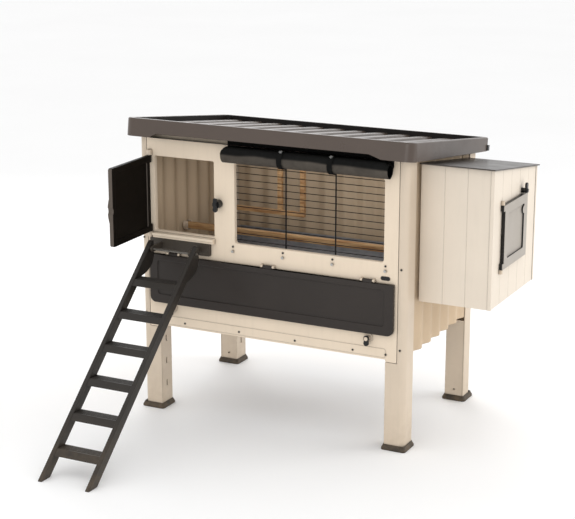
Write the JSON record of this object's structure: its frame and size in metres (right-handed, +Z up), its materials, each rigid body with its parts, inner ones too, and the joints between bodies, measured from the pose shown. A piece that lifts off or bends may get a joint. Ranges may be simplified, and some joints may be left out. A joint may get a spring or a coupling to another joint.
{
  "type": "chicken coop",
  "caption": "Raised plastic hen house on four legs with a sloping ribbed roof, hinged door and ladder, barred window with a rolled shade, cleaning hatch and a side nest box.",
  "frame": {"origin": "on the ground, under the middle of the object as it stands with its door open and its ladder down", "axes": "+X to the right along the front, towards the nest box; +Y from front to back; +Z up"},
  "size_m": [1.565, 1.7142, 1.2566],
  "materials": {
    "cream_plastic": "fine-textured moulded plastic",
    "cream_post_plastic": "fine-textured moulded plastic",
    "brown_plastic": "satin moulded plastic",
    "black_plastic": "satin",
    "black_wire": "powder-coated",
    "black_screws": "black oxide",
    "steel": "zinc-plated",
    "shade_sheet": "coated woven sheet, slight sheen",
    "strap_webbing": "woven webbing",
    "lid_sheet": "satin sheet",
    "tray_sheet": "galvanised, coated",
    "timber": "planed softwood"
  },
  "bodies": {
    "coop": {"front_panel": "cream_plastic", "left_wall": "cream_plastic", "right_wall": "cream_plastic", "back_wall": "cream_plastic", "corner_post_front_left": "cream_post_plastic", "corner_post_front_right": "cream_post_plastic", "corner_post_back_left": "cream_post_plastic", "corner_post_back_right": "cream_post_plastic", "leg_cover_front_left": "cream_post_plastic", "leg_cover_front_right": "cream_post_plastic", "leg_cover_back_left": "cream_post_plastic", "leg_cover_back_right": "cream_post_plastic", "foot_front_left": "brown_plastic", "foot_front_right": "brown_plastic", "foot_back_left": "brown_plastic", "foot_back_right": "brown_plastic", "door_sill": "cream_plastic", "window_grille": "black_wire", "window_tie_studs": "steel", "panel_screws": "black_screws", "badge": "black_plastic", "door_hinge_blocks": "cream_post_plastic", "door_hinge_pins": "steel", "door_latch_base": "black_plastic", "hatch_hinge_brackets": "cream_post_plastic", "hatch_hinge_pins": "steel", "hatch_latch_bases": "cream_post_plastic", "shade_roll": "shade_sheet", "shade_straps": "strap_webbing", "shade_studs": "steel", "ladder_bracket": "brown_plastic", "ladder_pivot_rod": "steel", "roof_hinge_brackets": "black_plastic", "roof_hinge_pins": "steel", "nest_front_wall": "cream_plastic", "nest_back_wall": "cream_plastic", "nest_outer_wall": "cream_plastic", "nest_floor": "cream_plastic", "nest_lid": "lid_sheet", "nest_corner_trim": "cream_plastic", "egg_door_hinge_blocks": "cream_post_plastic", "egg_door_hinge_pins": "steel", "egg_latch_base": "black_plastic", "tray": "tray_sheet", "tray_runners": "cream_post_plastic", "perch": "timber", "perch_brackets": "cream_post_plastic", "hanging_roost": "timber"},
    "coop_door": {"coop_door": "brown_plastic"},
    "door_latch": {"door_latch_lever": "black_plastic"},
    "hatch": {"hatch": "brown_plastic"},
    "hatch_latch_left": {"hatch_latch_lever_left": "black_plastic"},
    "hatch_latch_right": {"hatch_latch_lever_right": "black_plastic"},
    "ladder": {"ladder_stringer_left": "brown_plastic", "ladder_stringer_right": "brown_plastic", "ladder_rungs": "brown_plastic"},
    "roof": {"roof": "brown_plastic", "roof_hinge_caps": "black_plastic"},
    "egg_door": {"egg_door": "brown_plastic"},
    "egg_latch": {"egg_latch_lever": "black_plastic"}
  },
  "joints": [
    {"name": "coop_door_hinge", "type": "hinge", "parent": "coop", "child": "coop_door", "pos_m": [-0.68625, 0.03106, 0.941], "axis": [0, 0, 1], "range_deg": [-7, 88]},
    {"name": "door_latch_turn", "type": "hinge", "parent": "coop", "child": "door_latch", "pos_m": [-0.36425, 0.01706, 0.928], "axis": [0, 1, 0], "range_deg": [0, 90]},
    {"name": "hatch_hinge", "type": "hinge", "parent": "coop", "child": "hatch", "pos_m": [-0.13825, 0.03206, 0.693], "axis": [-1, 0, 0], "range_deg": [0, 45]},
    {"name": "hatch_latch_left_turn", "type": "hinge", "parent": "coop", "child": "hatch_latch_left", "pos_m": [-0.58825, 0.01906, 0.458], "axis": [0, 1, 0], "range_deg": [0, 180]},
    {"name": "hatch_latch_right_turn", "type": "hinge", "parent": "coop", "child": "hatch_latch_right", "pos_m": [0.30575, 0.01906, 0.458], "axis": [0, 1, 0], "range_deg": [0, 180]},
    {"name": "ladder_pivot", "type": "hinge", "parent": "coop", "child": "ladder", "pos_m": [-0.54375, -0.04194, 0.727], "axis": [-1, 0, 0], "range_deg": [0, 38]},
    {"name": "roof_hinge", "type": "hinge", "parent": "coop", "child": "roof", "pos_m": [-0.13825, 0.84906, 1.09027], "axis": [-1, 0, 0], "range_deg": [0, 60]},
    {"name": "egg_door_hinge", "type": "hinge", "parent": "coop", "child": "egg_door", "pos_m": [0.76325, 0.27206, 0.86143], "axis": [0, 0, -1], "range_deg": [0, 105]},
    {"name": "egg_latch_turn", "type": "hinge", "parent": "coop", "child": "egg_latch", "pos_m": [0.77475, 0.51106, 1.00393], "axis": [1, 0, 0], "range_deg": [0, 180]}
  ]
}
